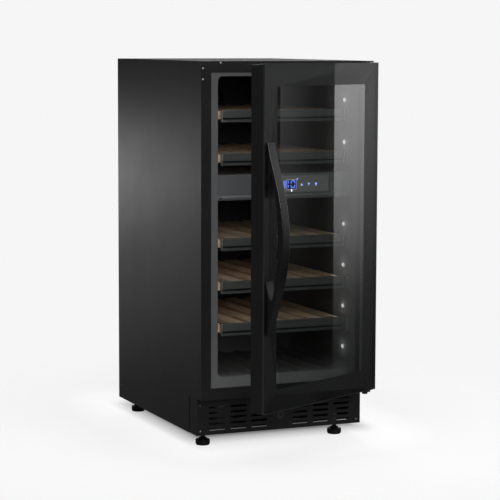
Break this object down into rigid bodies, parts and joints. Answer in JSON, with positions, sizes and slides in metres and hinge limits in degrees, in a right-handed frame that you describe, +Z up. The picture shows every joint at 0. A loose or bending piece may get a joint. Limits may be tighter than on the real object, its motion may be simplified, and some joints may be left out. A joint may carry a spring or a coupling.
{
  "type": "wine cooler",
  "caption": "Under-counter dual-zone wine cooler with a right-hinged glass door, bow handle, beech sliding racks, touch display and slotted kick plate.",
  "frame": {"origin": "on the floor under the middle of the cabinet body, door and handle left out", "axes": "+Z up, the door side faces -Y, the hinge side is +X"},
  "size_m": [0.4019, 0.7832, 0.84],
  "materials": {
    "case_steel": "satin",
    "plated_steel": "satin",
    "screw_steel": "satin",
    "foam": "matte",
    "liner": "satin",
    "fascia": "satin",
    "display": "gloss",
    "circuit_board": "satin",
    "lamp": "gloss",
    "duct_plastic": "matte",
    "coil_aluminium": "satin",
    "fan_plastic": "matte",
    "copper": "satin",
    "compressor_black": "gloss",
    "grommet_rubber": "matte",
    "inlet_plastic": "satin",
    "lock_chrome": "satin",
    "door_plastic": "satin",
    "door_glass": "gloss",
    "spacer_aluminium": "satin",
    "gasket_rubber": "matte",
    "nylon": "matte",
    "handle_black": "satin",
    "trim_anodised": "satin",
    "beech": "satin",
    "foot_plastic": "satin"
  },
  "bodies": {
    "cabinet": {"left_side_panel": "case_steel", "right_side_panel": "case_steel", "top_panel": "case_steel", "bottom_deck": "case_steel", "base_tray": "plated_steel", "rear_panel": "plated_steel", "compressor_cover": "case_steel", "foam_insulation": "foam", "inner_liner": "liner", "shelf_runners": "liner", "shelf_end_guides": "liner", "zone_divider": "liner", "divider_sill": "fascia", "control_fascia": "fascia", "display_window": "display", "control_board": "circuit_board", "led_lamps": "lamp", "upper_duct_cover": "duct_plastic", "lower_duct_cover": "duct_plastic", "evaporators": "coil_aluminium", "evaporator_fan_frames": "fan_plastic", "compressor": "compressor_black", "compressor_grommets": "grommet_rubber", "condenser": "coil_aluminium", "condenser_fan_frame": "fan_plastic", "refrigerant_pipes": "copper", "power_inlet": "inlet_plastic", "kick_plate": "case_steel", "dome_screws": "screw_steel", "lock_body": "lock_chrome", "top_hinge_bracket": "case_steel", "bottom_hinge_bracket": "case_steel", "hinge_screws": "screw_steel"},
    "door": {"door_outer_glass": "door_glass", "door_frame": "door_plastic", "glass_spacer": "spacer_aluminium", "door_inner_glass": "door_glass", "door_inner_frame": "door_plastic", "door_gasket": "gasket_rubber", "hinge_bushes": "nylon", "handle": "handle_black", "handle_screws": "screw_steel"},
    "shelf_1": {"shelf_1_trim": "trim_anodised", "shelf_1_rack": "beech"},
    "shelf_2": {"shelf_2_trim": "trim_anodised", "shelf_2_rack": "beech"},
    "shelf_3": {"shelf_3_trim": "trim_anodised", "shelf_3_rack": "beech"},
    "shelf_4": {"shelf_4_trim": "trim_anodised", "shelf_4_rack": "beech"},
    "shelf_5": {"shelf_5_trim": "trim_anodised", "shelf_5_rack": "beech"},
    "foot_front_left": {"foot_front_left": "foot_plastic"},
    "foot_front_right": {"foot_front_right": "foot_plastic"},
    "foot_rear_left": {"foot_rear_left": "foot_plastic"},
    "foot_rear_right": {"foot_rear_right": "foot_plastic"},
    "lock_plug": {"lock_plug": "lock_chrome"},
    "upper_fan_rotor": {"upper_fan_rotor": "fan_plastic"},
    "lower_fan_rotor": {"lower_fan_rotor": "fan_plastic"},
    "condenser_fan_rotor": {"condenser_fan_rotor": "fan_plastic"}
  },
  "joints": [
    {"name": "door_hinge", "type": "hinge", "parent": "cabinet", "child": "door", "pos_m": [0.1845, -0.2855, 0.477], "axis": [0, 0, 1], "range_deg": [-27.5, 77.5]},
    {"name": "shelf_1_slide", "type": "slide", "parent": "cabinet", "child": "shelf_1", "axis": [0, -1, 0], "range_m": [0, 0.028]},
    {"name": "shelf_2_slide", "type": "slide", "parent": "cabinet", "child": "shelf_2", "axis": [0, -1, 0], "range_m": [0, 0.028]},
    {"name": "shelf_3_slide", "type": "slide", "parent": "cabinet", "child": "shelf_3", "axis": [0, -1, 0], "range_m": [0, 0.028]},
    {"name": "shelf_4_slide", "type": "slide", "parent": "cabinet", "child": "shelf_4", "axis": [0, -1, 0], "range_m": [0, 0.028]},
    {"name": "shelf_5_slide", "type": "slide", "parent": "cabinet", "child": "shelf_5", "axis": [0, -1, 0], "range_m": [0, 0.028]},
    {"name": "foot_front_left_height", "type": "slide", "parent": "cabinet", "child": "foot_front_left", "axis": [0, 0, -1], "range_m": [-0.014, 0.03]},
    {"name": "foot_front_right_height", "type": "slide", "parent": "cabinet", "child": "foot_front_right", "axis": [0, 0, -1], "range_m": [-0.014, 0.03]},
    {"name": "foot_rear_left_height", "type": "slide", "parent": "cabinet", "child": "foot_rear_left", "axis": [0, 0, -1], "range_m": [-0.014, 0.03]},
    {"name": "foot_rear_right_height", "type": "slide", "parent": "cabinet", "child": "foot_rear_right", "axis": [0, 0, -1], "range_m": [-0.014, 0.03]},
    {"name": "lock_turn", "type": "hinge", "parent": "cabinet", "child": "lock_plug", "pos_m": [0, -0.2385, 0.0643], "axis": [0, 1, 0], "range_deg": [0, 90]},
    {"name": "upper_fan_spin", "type": "hinge", "parent": "cabinet", "child": "upper_fan_rotor", "pos_m": [0, 0.1785, 0.742], "axis": [0, 1, 0], "continuous": true},
    {"name": "lower_fan_spin", "type": "hinge", "parent": "cabinet", "child": "lower_fan_rotor", "pos_m": [0, 0.1785, 0.4], "axis": [0, 1, 0], "continuous": true},
    {"name": "condenser_fan_spin", "type": "hinge", "parent": "cabinet", "child": "condenser_fan_rotor", "pos_m": [-0.104, 0.1425, 0.11], "axis": [0, 1, 0], "continuous": true}
  ]
}
